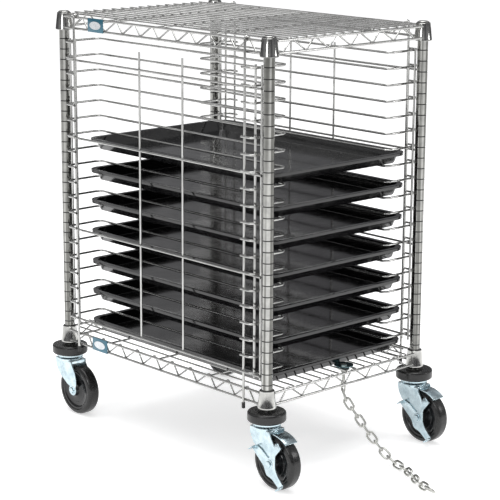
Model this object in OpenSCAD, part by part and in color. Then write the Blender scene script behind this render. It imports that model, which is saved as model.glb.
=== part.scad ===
// Half-height mobile sheet pan rack: four grooved posts, two wire shelves, hung wire pan slides,
// seven baking trays, four stem casters and a grounding chain.
// Millimetres. +Z is up, -Y is the loading side, the origin lies on the floor midway between the posts.

/* [Rack] */
// Distance between post centres across the rack
post_span_x = 490; // [484:1:620]
// Distance between post centres from front to back
post_span_y = 728; // [700:1:880]
// Number of post grooves between the two shelves
shelf_steps = 31; // [26:1:40]
// Length of a post
post_length = 838.2; // [760:0.1:1100]
// Outside diameter of a post
post_d = 25.4; // [24:0.1:26]
// Height of the lower end of a post above the floor
post_base_z = 172; // [165:1:185]
// Distance from one post groove to the next
groove_pitch = 25.4; // [20:0.1:26]

/* [Shelf] */
// Height of a shelf collar
collar_h = 41; // [36:1:46]
// Diameter of the shelf rim wires
rim_d = 6; // [5:0.1:7]
// Diameter of the mat wires
mat_d = 4; // [3:0.1:5]
// Diameter of the cross wires under the mat
cross_d = 5; // [4:0.1:6]
// Diameter of the zigzag wires
zigzag_d = 4; // [3:0.1:4.5]
// Number of mat wires
mat_wires = 17; // [11:2:19]
// Distance from the post centre to the outermost mat wire
mat_edge = 14.6; // [10:0.1:20]
// Height from the lower rim wire to the upper one
rim_gap = 26.8; // [24:0.1:28]
// How far the rim wires stand outside the post centres
rim_out = 10; // [8:0.5:12]

/* [Slides] */
// Number of pan levels on each slide
levels = 19; // [10:1:19]
// Distance from one pan level to the next
level_pitch = 38.1; // [30:0.1:38.1]
// Diameter of the slide wires
slide_d = 5.5; // [5:0.1:6]
// How far a slide reaches under the tray from its side
slide_reach = 65; // [50:1:80]
// Distance from the post centre to the leg of a slide wire
leg_inset = 28; // [27:0.5:45]
// Bend radius of a slide wire
bend_r = 14; // [10:1:18]
// Distance from the post centre to a hanger wire
hanger_inset = 60; // [56:1:70]
// Distance of the two middle uprights from the middle of the slide
middle_out = 77; // [50:1:120]

/* [Trays] */
// Width of a tray
tray_w = 457; // [380:1:457]
// Length of a tray
tray_l = 660; // [550:1:690]
// Height of a tray
tray_h = 27; // [22:0.5:30]
// Thickness of the tray metal
tray_t = 1.3; // [1:0.1:2]
// Corner radius of the tray rim
tray_corner_r = 38; // [30:1:45]
// Width of the flat tray rim
tray_rim = 12; // [9:0.5:14]
// How far the tray wall slopes in from rim to floor
tray_slope = 13; // [8:0.5:16]
// How far the trays stand forward of the middle of the rack
tray_forward = 18; // [0:1:30]

/* [Casters] */
// Wheel diameter
wheel_d = 127; // [114:1:127]
// Wheel width
wheel_w = 32; // [28:1:34]
// Distance from the swivel axis to the axle
trail = 37; // [30:1:40]
// Axle bolt diameter
axle_d = 9.5; // [8:0.1:12]
// Thickness of the fork metal
fork_t = 3; // [2.5:0.1:3.5]
// Bumper diameter
bumper_d = 89; // [80:1:100]
// Bumper thickness
bumper_h = 24; // [20:1:26]
// Kingpin diameter
kingpin_d = 12; // [10:0.5:13]

/* [Chain] */
// Outside width of the chain
chain_d = 21; // [18:1:24]
// Diameter of the anchor disc on the shelf
anchor_d = 46; // [42:1:52]

/* [Hidden] */

// Fineness of round parts
wire_fn = 24;
round_fn = 64;

// Clearances
weld = 0.3;          // depth that crossing wires sink into each other
gap = 0.3;           // air between pieces that move past each other
run_fit = 0.05;      // radial play of a turning fit
seat_fit = 0.03;     // radial play of a part pressed by hand

// Corners as signs of X and Y
FL = [-1, -1];
FR = [1, -1];
RL = [-1, 1];
RR = [1, 1];
CORNERS = [FL, FR, RL, RR];

// Posts
post_r = post_d / 2;
post_wall = 1.3;
groove_w = 1.4;
groove_depth = 0.7;
groove_first = post_base_z + groove_pitch / 2;
post_top_z = post_base_z + post_length;
groove_count = floor((post_length - groove_pitch) / groove_pitch) + 1;
cap_h = 4;

// Shelves
collar_top_out = 12;                                   // collar top above its groove
bottom_z = groove_first + groove_pitch + collar_top_out;   // top of the bottom shelf's collars
top_z = bottom_z + shelf_steps * groove_pitch;             // top of the top shelf's collars
sleeve_lip = 2;
sleeve_top_r = post_r + 1.7;
sleeve_bottom_r = post_r + 3.2;
collar_top_r = post_r + 4.5;
collar_bottom_r = post_r + 8.6;
mat_drop = 2.5;                                        // mat wire centres below the collar tops
rim_drop = mat_drop + mat_d / 2 + rim_d / 2 - weld;
cross_drop = mat_drop + mat_d / 2 + cross_d / 2 - weld;
rim_x = post_span_x / 2 + rim_out;
rim_y = post_span_y / 2 + rim_out;
mat_end = rim_y + rim_d / 2;
mat_pitch = (post_span_x - 2 * mat_edge) / (mat_wires - 1);
zigzag_pitch = 60;
zigzag_lean = 10;
zigzag_bend = 5;                                       // how far from a corner its bend starts
mat_top_z = bottom_z - mat_drop + mat_d / 2;

// Slides
line_x = tray_w / 2 - slide_reach;
leg_y = post_span_y / 2 - leg_inset;
hanger_d = 6;
hanger_x = rim_x + rim_d / 2 + hanger_d / 2 + weld;
hanger_y = post_span_y / 2 - hanger_inset;
tail_x = hanger_x + hanger_d / 2 + slide_d / 2 - weld;
tail_end = hanger_y - 5;
upright_x = post_span_x / 2;
upright_near_y = leg_y + slide_d - weld;
upright_far_y = upright_near_y - 20;
lowest_level_z = mat_top_z + level_pitch - slide_d / 2;
level_1_z = lowest_level_z + (levels - 1) * level_pitch;
straight_levels = [2, 7, 13, 19];
straight_x = upright_x + slide_d - weld;
straight_drop = slide_d + 1.5;
upright_bottom_z = lowest_level_z - 16;
tip_l = 14;
hanger_foot_z = bottom_z - collar_h - 10;

// Trays
tray_levels = [for (i = [0:5]) levels - 11 + 2 * i];
tray_corner_steps = 6;

// Casters
wheel_r = wheel_d / 2;
bumper_z = post_base_z + 3 - bumper_h;
race_top_z = bumper_z;
race_h = 5.5;
ball_d = 5;
ball_gap = 0.25;
cup_top_z = race_top_z - race_h - ball_d - 2 * ball_gap;
cup_h = 5;
crown_z = cup_top_z - cup_h;
fork_gap = wheel_w / 2 + 4;
ball_ring_r = 21;
stem_d = post_d - 2 * post_wall - 2 * seat_fit;
stem_h = 60;
core_r = wheel_r - 13;
lever_t = 2.5;
lever_x = fork_gap + fork_t + 1.2;
shoe_pin_r = 2;
shoe_pin_y = -30;
shoe_pin_z = crown_z - 4;
shoe_air = 3;          // gap between a released shoe and the tread

// Chain: where it leaves the eye, and its route to the bare end on the floor
anchor_x = mat_pitch / 2;
anchor_y = -350;
CHAIN_ROUTE = [
    [14, -350, 170], [14, -351, 159], [17, -360, 140], [23, -376, 118], [30, -394, 94], [36, -413, 70],
    [42, -434, 48], [46, -456, 29], [47, -482, 16], [44, -508, 11], [36, -534, 11], [24, -558, 11],
    [10, -584, 11], [-4, -610, 11], [-14, -640, 11], [-21, -672, 11]
];
chain_steps = 2;

function along(a, b, t) = a + (b - a) * t;
function unit(v) = v / norm(v);
function collar_r(drop) = along(collar_top_r, collar_bottom_r, drop / collar_h);
// Where a rim wire meets a collar, measured from the post centre along the wire
function rim_start(drop) = sqrt(pow(collar_r(drop), 2) - pow(rim_out, 2)) - 2 * weld;

module place(corner) {
    translate([corner[0] * post_span_x / 2, corner[1] * post_span_y / 2, 0]) children();
}

module at_posts() {
    for (corner = CORNERS)
        place(corner) children();
}

// Straight round wire from one point to another
module wire(from, to, d) {
    run = to - from;
    length = norm(run);
    translate(from)
        rotate([0, acos(run[2] / length), atan2(run[1], run[0])])
            cylinder(h = length, d = d, $fn = wire_fn);
}

// Closed tube along a path, with flat sides whose rings turn about one fixed axis
module tube(path, d, sides, side_axis) {
    rings = len(path);
    points = [
        for (i = [0:rings - 1])
            let (
                ahead = unit(path[min(i + 1, rings - 1)] - path[max(i - 1, 0)]),
                up = unit(cross(side_axis, ahead)),
                across = cross(ahead, up)
            )
                for (k = [0:sides - 1])
                    let (a = 360 * (k + 0.5) / sides)
                        path[i] + d / 2 * (cos(a) * across + sin(a) * up)
    ];
    skin = [
        for (i = [0:rings - 2])
            for (k = [0:sides - 1])
                let (a = i * sides + k, b = i * sides + (k + 1) % sides)
                    each [[a, a + sides, b], [b, a + sides, b + sides]]
    ];
    ends = [
        [for (k = [0:sides - 1]) k],
        [for (k = [0:sides - 1]) rings * sides - 1 - k]
    ];
    polyhedron(points = points, faces = concat(skin, ends));
}

// Quarter bend of a wire lying flat, about its centre, starting at an angle
module flat_bend(centre, start, r, d) {
    translate(centre)
        rotate([0, 0, start])
            rotate_extrude(angle = 90, $fn = round_fn)
                translate([r, 0])
                    circle(d = d, $fn = wire_fn);
}

// ---- posts ----

module post(corner) {
    bore_r = post_r - post_wall;
    grooves = [
        for (i = [0:groove_count - 1])
            let (z = groove_first + i * groove_pitch)
                each [
                    [post_r, z - groove_w / 2], [post_r - groove_depth, z - groove_w / 2],
                    [post_r - groove_depth, z + groove_w / 2], [post_r, z + groove_w / 2]
                ]
    ];
    color("silver")
        place(corner)
            rotate_extrude($fn = round_fn)
                polygon(concat(
                    [[bore_r, post_base_z], [post_r, post_base_z]],
                    grooves,
                    [[post_r, post_top_z], [bore_r, post_top_z]]
                ));
}

module post_caps() {
    plug_r = post_r - post_wall - seat_fit;
    color("lightgray")
        at_posts()
            translate([0, 0, post_top_z])
                rotate_extrude($fn = round_fn)
                    polygon([
                        [0, -12], [plug_r, -12], [plug_r, 0.05], [post_r, 0.05],
                        [post_r, 1.4], [post_r - 2, 3.2], [post_r - 6, cap_h], [0, cap_h]
                    ]);
}

// ---- shelves, each drawn from the height of its collar tops ----

module shelf_mat(z) {
    short_end = post_span_y / 2 - collar_bottom_r - 4;
    color("silver")
        for (i = [0:mat_wires - 1])
            let (
                side = i - (mat_wires - 1) / 2,
                x = side * mat_pitch,
                near_collar = abs(x) > post_span_x / 2 - collar_bottom_r - mat_d,
                end = near_collar ? short_end : mat_end
            )
                wire([x, -end, z - mat_drop], [x, end, z - mat_drop], mat_d);
}

module shelf_rims(z) {
    color("silver")
        for (drop = [rim_drop, rim_drop + rim_gap])
            for (side = [-1, 1]) {
                end_y = post_span_y / 2 - rim_start(drop);
                end_x = post_span_x / 2 - rim_start(drop);
                wire([side * rim_x, -end_y, z - drop], [side * rim_x, end_y, z - drop], rim_d);
                wire([-end_x, side * rim_y, z - drop], [end_x, side * rim_y, z - drop], rim_d);
            }
}

// Three wires under the mat, welded to it and to the side rims
module shelf_cross_wires(z) {
    end_x = rim_x - rim_d / 2 + weld;
    color("silver")
        for (y = [-post_span_y / 4, 0, post_span_y / 4])
            wire([-end_x, y, z - cross_drop], [end_x, y, z - cross_drop], cross_d);
}

// One zigzag wire of a shelf side, along +X and leaning in at the top, with rounded corners
module zigzag(half, z) {
    turns = floor(2 * half / zigzag_pitch);
    low = z - rim_drop - rim_gap;
    high = z - mat_drop - mat_d / 2 - zigzag_d / 2 - gap;
    corners = [
        for (i = [0:2 * turns])
            [-half + i * half / turns, i % 2 == 0 ? 0 : zigzag_lean, i % 2 == 0 ? low : high]
    ];
    path = [
        corners[0],
        for (i = [1:2 * turns - 1])
            let (
                into = corners[i] + zigzag_bend * unit(corners[i - 1] - corners[i]),
                out = corners[i] + zigzag_bend * unit(corners[i + 1] - corners[i])
            )
                each [into, (into + 2 * corners[i] + out) / 4, out],
        corners[2 * turns]
    ];
    tube(path, zigzag_d, 6, [0, low - high, zigzag_lean]);
}

module shelf_zigzags(z) {
    inset = rim_d / 2 + zigzag_d / 2 - weld;
    margin = collar_bottom_r + 14;
    color("silver")
        for (turn = [0, 180]) {
            rotate([0, 0, turn])
                translate([0, -rim_y + inset, 0])
                    zigzag(post_span_x / 2 - margin, z);
            rotate([0, 0, turn + 90])
                translate([0, -rim_x + inset, 0])
                    zigzag(post_span_y / 2 - margin, z);
        }
}

module shelf_collars(z) {
    inner_top = sleeve_top_r + seat_fit;
    inner_bottom = sleeve_bottom_r + seat_fit;
    color("silver")
        at_posts()
            translate([0, 0, z - collar_h])
                rotate_extrude($fn = round_fn)
                    polygon([
                        [inner_bottom, 0], [collar_bottom_r, 0], [collar_bottom_r, 3],
                        [collar_top_r, collar_h], [inner_top, collar_h]
                    ]);
}

// Split plastic sleeves: two tapered halves with a bead that sits in a post groove
module shelf_sleeves(z) {
    inner = post_r + seat_fit;
    bead = groove_depth - 0.15;
    split = 2;
    color("dimgray")
        at_posts()
            for (turn = [0, 180])
                rotate([0, 0, turn + split])
                    translate([0, 0, z - collar_h])
                        rotate_extrude(angle = 180 - 2 * split, $fn = round_fn)
                            polygon([
                                [inner, 0], [sleeve_bottom_r, 0], [sleeve_top_r, collar_h],
                                [sleeve_top_r, collar_h + sleeve_lip], [inner, collar_h + sleeve_lip],
                                [inner, collar_h - collar_top_out + 0.5],
                                [inner - bead, collar_h - collar_top_out + 0.4],
                                [inner - bead, collar_h - collar_top_out - 0.4],
                                [inner, collar_h - collar_top_out - 0.5]
                            ]);
}

// Blank plates clipped to the rims on the left side
module shelf_badges() {
    badge_w = 58;
    badge_h = rim_gap + rim_d;
    badge_t = 2;
    color("teal")
        for (z = [top_z, bottom_z])
            translate([
                -rim_x - rim_d / 2 - badge_t + weld,
                post_span_y / 2 - 112 - badge_w,
                z - rim_drop - rim_gap - rim_d / 2
            ])
                cube([badge_t, badge_w, badge_h]);
}

// ---- pan slides, drawn for the right side and mirrored for the left ----

module slide_uprights() {
    color("silver") {
        for (side = [-1, 1]) {
            y = side * hanger_y;
            hook_r = hanger_d / 2 + rim_d / 2 + weld;
            wire([hanger_x, y, hanger_foot_z], [hanger_x, y, top_z - rim_drop], hanger_d);
            translate([hanger_x - hook_r, y, top_z - rim_drop])
                rotate([90, 0, 0])
                    rotate_extrude(angle = 180, $fn = round_fn)
                        translate([hook_r, 0])
                            circle(d = hanger_d, $fn = wire_fn);
            for (upright_y = [upright_near_y, upright_far_y])
                wire([upright_x, side * upright_y, upright_bottom_z],
                     [upright_x, side * upright_y, level_1_z + 6], slide_d);
            wire([upright_x, side * middle_out, lowest_level_z - straight_drop - 4],
                 [upright_x, side * middle_out, level_1_z - 4], slide_d);
        }
    }
}

// One pan level: a long inner line, two legs reaching out between the posts and two turned-in tails
module slide_runner(z) {
    wire([line_x, -leg_y + bend_r, z], [line_x, leg_y - bend_r, z], slide_d);
    for (side = [0, 1])
        mirror([0, side, 0]) {
            flat_bend([line_x + bend_r, leg_y - bend_r, z], 90, bend_r, slide_d);
            wire([line_x + bend_r, leg_y, z], [tail_x - bend_r, leg_y, z], slide_d);
            flat_bend([tail_x - bend_r, leg_y - bend_r, z], 0, bend_r, slide_d);
            wire([tail_x, leg_y - bend_r, z], [tail_x, tail_end, z], slide_d);
        }
}

module slide_runners() {
    color("silver") {
        for (i = [0:levels - 1])
            slide_runner(level_1_z - i * level_pitch);
        for (level = straight_levels)
            if (level <= levels)
                let (z = level_1_z - (level - 1) * level_pitch - straight_drop, end = upright_near_y + 6)
                    wire([straight_x, -end, z], [straight_x, end, z], slide_d);
    }
}

// Soft caps on the lower ends of the hangers
module slide_end_tips() {
    color("black")
        for (x = [-hanger_x, hanger_x])
            for (y = [-hanger_y, hanger_y])
                translate([x, y, hanger_foot_z - 2])
                    rotate_extrude($fn = 32)
                        polygon([
                            [0, 0], [hanger_d / 2 + 1, 0], [hanger_d / 2 + 1.2, 1.5],
                            [hanger_d / 2 + 1.2, tip_l], [hanger_d / 2 + seat_fit, tip_l],
                            [hanger_d / 2 + seat_fit, 2 - seat_fit], [0, 2 - seat_fit]
                        ]);
}

// ---- trays ----

function rim_ring(inset, z) =
    let (
        r = max(tray_corner_r - inset, 8),
        cx = tray_w / 2 - inset - r,
        cy = tray_l / 2 - inset - r
    )
        [
            for (q = [[1, 1, 0], [-1, 1, 90], [-1, -1, 180], [1, -1, 270]])
                for (i = [0:tray_corner_steps])
                    let (a = q[2] + 90 * i / tray_corner_steps)
                        [q[0] * cx + r * cos(a), q[1] * cy + r * sin(a), z]
        ];

module tray(index) {
    base = index < 6
        ? level_1_z - (tray_levels[index] - 1) * level_pitch + slide_d / 2 + gap
        : mat_top_z + gap;
    lip = 7;
    rings = [
        rim_ring(tray_rim + tray_slope, 0),
        rim_ring(tray_rim, tray_h - tray_t),
        rim_ring(tray_t, tray_h - tray_t),
        rim_ring(tray_t, tray_h - lip),
        rim_ring(0, tray_h - lip),
        rim_ring(0, tray_h),
        rim_ring(tray_rim + tray_t, tray_h),
        rim_ring(tray_rim + tray_slope + tray_t, tray_t)
    ];
    n = len(rings[0]);
    last = len(rings) - 1;
    sides = [
        for (k = [0:last - 1])
            for (i = [0:n - 1])
                let (a = k * n + i, b = k * n + (i + 1) % n)
                    each [[a, a + n, b], [b, a + n, b + n]]
    ];
    ends = [
        [for (i = [0:n - 1]) i],
        [for (i = [0:n - 1]) last * n + n - 1 - i]
    ];
    color([0.07, 0.07, 0.08])
        translate([0, -tray_forward, base])
            polyhedron(points = [for (ring = rings) each ring], faces = concat(sides, ends));
}

// ---- casters, drawn about the swivel axis ----

module caster_stems() {
    color("lightsteelblue")
        at_posts()
            rotate_extrude($fn = round_fn)
                polygon([
                    [0, crown_z - 9], [kingpin_d / 2 + 4, crown_z - 9],
                    [kingpin_d / 2 + 4, crown_z - gap], [kingpin_d / 2, crown_z - gap],
                    [kingpin_d / 2, race_top_z - race_h], [34, race_top_z - race_h],
                    [34, race_top_z - 2], [30, race_top_z], [stem_d / 2, race_top_z],
                    [stem_d / 2, race_top_z + stem_h], [stem_d / 2 - 2, race_top_z + stem_h + 2],
                    [0, race_top_z + stem_h + 2]
                ]);
}

module caster_bumpers() {
    r = bumper_d / 2;
    round_r = 8;
    recess = bumper_z + bumper_h - post_base_z;
    color([0.1, 0.1, 0.1])
        at_posts()
            translate([0, 0, bumper_z + seat_fit])
                rotate_extrude($fn = round_fn)
                    difference() {
                        union() {
                            square([r - round_r, bumper_h - seat_fit]);
                            translate([0, round_r])
                                square([r, bumper_h - seat_fit - 2 * round_r]);
                            for (z = [round_r, bumper_h - seat_fit - round_r])
                                translate([r - round_r, z])
                                    circle(r = round_r, $fn = 32);
                        }
                        translate([-1, -1])
                            square([stem_d / 2 + seat_fit + 1, bumper_h + 2]);
                        translate([-1, bumper_h - seat_fit - recess - seat_fit])
                            square([post_r + seat_fit + 1, recess + 1]);
                    }
}

module caster_balls() {
    count = 16;
    color("white")
        at_posts()
            for (i = [0:count - 1])
                rotate([0, 0, i * 360 / count])
                    translate([ball_ring_r, 0, cup_top_z + ball_gap + ball_d / 2])
                        sphere(d = ball_d, $fn = 24);
}

// Side outline of a fork leg, with Y along +X and Z along +Y; a braked leg is drilled for the shoe's pin
module leg_outline(braked) {
    difference() {
        union() {
            polygon([
                [31, crown_z + fork_t], [31, crown_z - 12], [20, crown_z - 34],
                [-trail + 22, wheel_r + 12], [-trail + 13, wheel_r - 4],
                [-trail - 13, wheel_r - 4], [-trail - 15, wheel_r + 14],
                [-trail - 12, crown_z - 22], [-34, crown_z - 6], [-34, crown_z + fork_t]
            ]);
            translate([-trail, wheel_r])
                circle(r = 14, $fn = 48);
        }
        translate([-trail, wheel_r])
            circle(r = axle_d / 2 + seat_fit, $fn = 32);
        if (braked)
            translate([shoe_pin_y, shoe_pin_z])
                circle(r = shoe_pin_r + run_fit, $fn = 24);
    }
}

module fork(corner) {
    color("lightsteelblue")
        place(corner) {
            for (side = [-1, 1])
                translate([side * (fork_gap + fork_t / 2) - fork_t / 2, 0, 0])
                    rotate([90, 0, 90])
                        linear_extrude(fork_t)
                            leg_outline(corner[1] < 0);
            difference() {
                union() {
                    translate([-fork_gap - weld, -34, crown_z])
                        cube([2 * fork_gap + 2 * weld, 65, fork_t]);
                    translate([0, 0, crown_z])
                        cylinder(r = 32, h = fork_t, $fn = round_fn);
                    translate([0, 0, crown_z + fork_t - weld])
                        cylinder(r = 27, h = cup_h - fork_t + weld, $fn = round_fn);
                }
                translate([0, 0, crown_z - 1])
                    cylinder(d = kingpin_d + 2 * run_fit, h = cup_h + 2, $fn = round_fn);
            }
        }
}

module axle(corner) {
    head_r = 8;
    half = fork_gap + fork_t + gap;
    braked = corner[1] < 0;
    left_end = braked ? lever_x + lever_t + gap : half;
    color("lightsteelblue")
        place(corner)
            translate([0, -trail, wheel_r])
                rotate([0, 90, 0]) {
                    translate([0, 0, -left_end - 5])
                        cylinder(r = head_r, h = 5, $fn = 6);
                    translate([0, 0, -left_end - 1])
                        cylinder(d = axle_d, h = left_end + half + 10, $fn = 32);
                    translate([0, 0, half])
                        cylinder(r = head_r, h = 7, $fn = 6);
                }
}

module wheel_core(corner) {
    half = wheel_w / 2;
    hub_half = fork_gap - gap;
    bore = axle_d / 2 + run_fit;
    color([0.08, 0.08, 0.08])
        place(corner)
            translate([0, -trail, wheel_r])
                rotate([0, 90, 0])
                    rotate_extrude($fn = round_fn)
                        polygon([
                            [bore, -hub_half], [13, -hub_half], [15, -half + 1], [22, -half + 5],
                            [core_r - 9, -half + 6], [core_r - 6, -half + 2], [core_r, -half + 2],
                            [core_r, half - 2], [core_r - 6, half - 2], [core_r - 9, half - 6],
                            [22, half - 5], [15, half - 1], [13, hub_half], [bore, hub_half]
                        ]);
}

module tyre(corner) {
    half = wheel_w / 2;
    color([0.05, 0.05, 0.05])
        place(corner)
            translate([0, -trail, wheel_r])
                rotate([0, 90, 0])
                    rotate_extrude($fn = round_fn)
                        polygon([
                            [core_r + seat_fit, -half + 2], [core_r + 2, -half], [wheel_r - 4, -half],
                            [wheel_r - 1, -half + 2], [wheel_r, -half + 6], [wheel_r, half - 6],
                            [wheel_r - 1, half - 2], [wheel_r - 4, half], [core_r + 2, half],
                            [core_r + seat_fit, half - 2]
                        ]);
}

// Rocking side lever: an arm up to the rear and one down to the front, each ending in a foot tab,
// and a third arm up to the front beside the shoe
module brake_lever(corner) {
    tab_w = 13;
    outline = [
        [57, 24], [43, 35], [27, 30], [2, 12], [-22, 57], [-38, 45], [-18, 22], [-18, -5],
        [-25, -20], [-46, -42], [-34, -53], [-10, -34], [10, -28], [18, -9]
    ];
    tabs = [
        [[57, 24], [43, 35], [41, 32.5], [55, 21.5]],
        [[-46, -42], [-34, -53], [-31.8, -50.6], [-43.8, -39.6]]
    ];
    color("lightsteelblue")
        place(corner)
            translate([-lever_x - lever_t, -trail, wheel_r])
                rotate([90, 0, 90]) {
                    linear_extrude(lever_t)
                        difference() {
                            polygon(outline);
                            circle(r = axle_d / 2 + run_fit, $fn = 32);
                        }
                    translate([0, 0, -tab_w])
                        linear_extrude(tab_w + weld)
                            for (tab = tabs)
                                polygon(tab);
                }
}

// Side outline of a brake shoe, with Y along +X and Z along +Y
module shoe_outline() {
    axle_at = [-trail, wheel_r];
    shoe_r = wheel_r + shoe_air;
    intersection() {
        difference() {
            translate(axle_at)
                circle(r = shoe_r + fork_t, $fn = round_fn);
            translate(axle_at)
                circle(r = shoe_r, $fn = round_fn);
        }
        polygon([axle_at, for (a = [94, 112, 130]) axle_at + 1.4 * wheel_r * [cos(a), sin(a)]]);
    }
    translate([-trail - 7, shoe_pin_z - 1])
        square([shoe_pin_y + trail + 7, 2.5]);
    translate([shoe_pin_y, shoe_pin_z])
        circle(r = shoe_pin_r + 1.4, $fn = 24);
}

// Curved brake shoe over the front of the tread, swinging on its own cross pin in the fork legs
module brake_shoe(corner) {
    half = wheel_w / 2 + 2;
    pin_half = fork_gap + fork_t + 0.8;
    color("lightsteelblue")
        place(corner) {
            translate([-half, 0, 0])
                rotate([90, 0, 90])
                    linear_extrude(2 * half)
                        shoe_outline();
            translate([-pin_half, shoe_pin_y, shoe_pin_z])
                rotate([0, 90, 0])
                    cylinder(r = shoe_pin_r, h = 2 * pin_half, $fn = 24);
        }
}

// ---- grounding chain ----

module chain_anchor_disc() {
    r = anchor_d / 2;
    color("teal")
        translate([anchor_x, anchor_y, mat_top_z + weld])
            rotate_extrude($fn = round_fn)
                polygon([
                    [4 + seat_fit, 0], [12, 0], [r - 3, 2], [r, 3.5], [r, 5], [r - 3, 4.2],
                    [12, 1.8], [4 + seat_fit, 1.8]
                ]);
}

module chain_eye_bolt() {
    shank_bottom = bottom_z - 34;
    eye_r = 7;
    wire_r = 2.2;
    color("lightgray") {
        translate([anchor_x, anchor_y, shank_bottom])
            cylinder(d = 8, h = mat_top_z + weld + 1.85 - shank_bottom, $fn = 32);
        translate([anchor_x, anchor_y, mat_top_z + weld + 1.85])
            cylinder(r = 7, h = 4, $fn = 6);
        translate([anchor_x, anchor_y, shank_bottom - eye_r])
            rotate([90, 0, 0])
                rotate_extrude($fn = round_fn)
                    translate([eye_r, 0])
                        circle(r = wire_r, $fn = wire_fn);
    }
}

module chain_lock_nut() {
    washer_z = bottom_z - mat_drop - mat_d / 2 - 2 - gap;
    color("silver")
        translate([anchor_x, anchor_y, 0])
            difference() {
                union() {
                    translate([0, 0, washer_z])
                        cylinder(r = anchor_x - 0.4, h = 2, $fn = round_fn);
                    translate([0, 0, washer_z - 7 + weld])
                        cylinder(r = 7.5, h = 7, $fn = 6);
                }
                translate([0, 0, washer_z - 10])
                    cylinder(d = 8 + 2 * seat_fit, h = 16, $fn = 32);
            }
}

// Smooth curve through the route's points
function curve(p0, p1, p2, p3, t) =
    0.5 * (2 * p1 + (p2 - p0) * t + (2 * p0 - 5 * p1 + 4 * p2 - p3) * t * t
        + (3 * p1 - p0 - 3 * p2 + p3) * t * t * t);

// Chain envelope: a tube of the chain's outside width along its route
module drag_chain() {
    last = len(CHAIN_ROUTE) - 1;
    path = [
        for (i = [0:last - 1])
            for (k = [0:chain_steps - 1])
                curve(CHAIN_ROUTE[max(i - 1, 0)], CHAIN_ROUTE[i], CHAIN_ROUTE[i + 1],
                      CHAIN_ROUTE[min(i + 2, last)], k / chain_steps),
        CHAIN_ROUTE[last]
    ];
    color("lightgray")
        tube(path, chain_d, 10, [1, 0, 0]);
}

post(FL);  // post_front_left
post(FR);  // post_front_right
post(RL);  // post_rear_left
post(RR);  // post_rear_right
post_caps();
shelf_mat(top_z);  // top_shelf_mat
shelf_rims(top_z);  // top_shelf_rims
shelf_cross_wires(top_z);  // top_shelf_cross_wires
shelf_zigzags(top_z);  // top_shelf_zigzags
shelf_collars(top_z);  // top_shelf_collars
shelf_sleeves(top_z);  // top_shelf_sleeves
shelf_mat(bottom_z);  // bottom_shelf_mat
shelf_rims(bottom_z);  // bottom_shelf_rims
shelf_cross_wires(bottom_z);  // bottom_shelf_cross_wires
shelf_zigzags(bottom_z);  // bottom_shelf_zigzags
shelf_collars(bottom_z);  // bottom_shelf_collars
shelf_sleeves(bottom_z);  // bottom_shelf_sleeves
shelf_badges();
mirror([1, 0, 0]) slide_uprights();  // left_slide_uprights
mirror([1, 0, 0]) slide_runners();  // left_slide_runners
slide_uprights();  // right_slide_uprights
slide_runners();  // right_slide_runners
slide_end_tips();
tray(0);  // tray_1
tray(1);  // tray_2
tray(2);  // tray_3
tray(3);  // tray_4
tray(4);  // tray_5
tray(5);  // tray_6
tray(6);  // tray_7
caster_stems();
caster_bumpers();
caster_balls();
fork(FL);  // fork_front_left
fork(FR);  // fork_front_right
fork(RL);  // fork_rear_left
fork(RR);  // fork_rear_right
axle(FL);  // axle_front_left
axle(FR);  // axle_front_right
axle(RL);  // axle_rear_left
axle(RR);  // axle_rear_right
wheel_core(FL);  // wheel_core_front_left
wheel_core(FR);  // wheel_core_front_right
wheel_core(RL);  // wheel_core_rear_left
wheel_core(RR);  // wheel_core_rear_right
tyre(FL);  // tyre_front_left
tyre(FR);  // tyre_front_right
tyre(RL);  // tyre_rear_left
tyre(RR);  // tyre_rear_right
brake_lever(FL);  // brake_lever_left
brake_lever(FR);  // brake_lever_right
brake_shoe(FL);  // brake_shoe_left
brake_shoe(FR);  // brake_shoe_right
chain_anchor_disc();
chain_eye_bolt();
chain_lock_nut();
drag_chain();
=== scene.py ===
# Half-height mobile sheet pan rack with black baking trays, swivel casters and a grounding chain.
import math
import bmesh
import bpy
from mathutils import Matrix, Vector


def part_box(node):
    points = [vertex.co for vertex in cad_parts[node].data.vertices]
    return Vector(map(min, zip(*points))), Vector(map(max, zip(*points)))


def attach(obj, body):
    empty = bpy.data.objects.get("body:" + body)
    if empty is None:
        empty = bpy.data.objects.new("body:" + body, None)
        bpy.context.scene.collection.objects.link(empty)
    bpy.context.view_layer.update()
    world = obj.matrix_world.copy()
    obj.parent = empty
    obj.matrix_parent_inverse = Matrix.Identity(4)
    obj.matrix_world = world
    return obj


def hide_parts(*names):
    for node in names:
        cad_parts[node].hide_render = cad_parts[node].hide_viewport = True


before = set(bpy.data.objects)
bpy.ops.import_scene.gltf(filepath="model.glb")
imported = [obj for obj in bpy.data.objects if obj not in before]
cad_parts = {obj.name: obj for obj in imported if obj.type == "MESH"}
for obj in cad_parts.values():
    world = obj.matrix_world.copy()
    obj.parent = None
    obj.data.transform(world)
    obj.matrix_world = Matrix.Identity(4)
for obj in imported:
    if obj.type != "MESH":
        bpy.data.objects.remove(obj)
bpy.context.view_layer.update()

# ---- Camera ----
# A long lens at standing height, looking down at the front left corner of the rack.

CAMERA_AT = (-2.8646, -3.1397, 1.4346)
CAMERA_YAW, CAMERA_PITCH, CAMERA_ROLL = (math.radians(angle) for angle in (42.75, 13.14, 0.29))
bpy.ops.object.camera_add(location=CAMERA_AT)
camera = bpy.context.object
camera.name = "camera"
camera.rotation_euler = (
    Matrix.Rotation(-CAMERA_YAW, 3, "Z")
    @ Matrix.Rotation(math.pi / 2 - CAMERA_PITCH, 3, "X")
    @ Matrix.Rotation(CAMERA_ROLL, 3, "Z")
).to_euler()
camera.data.lens = 128.52
camera.data.sensor_width = 36
camera.data.clip_end = 200
bpy.context.scene.camera = camera


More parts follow.
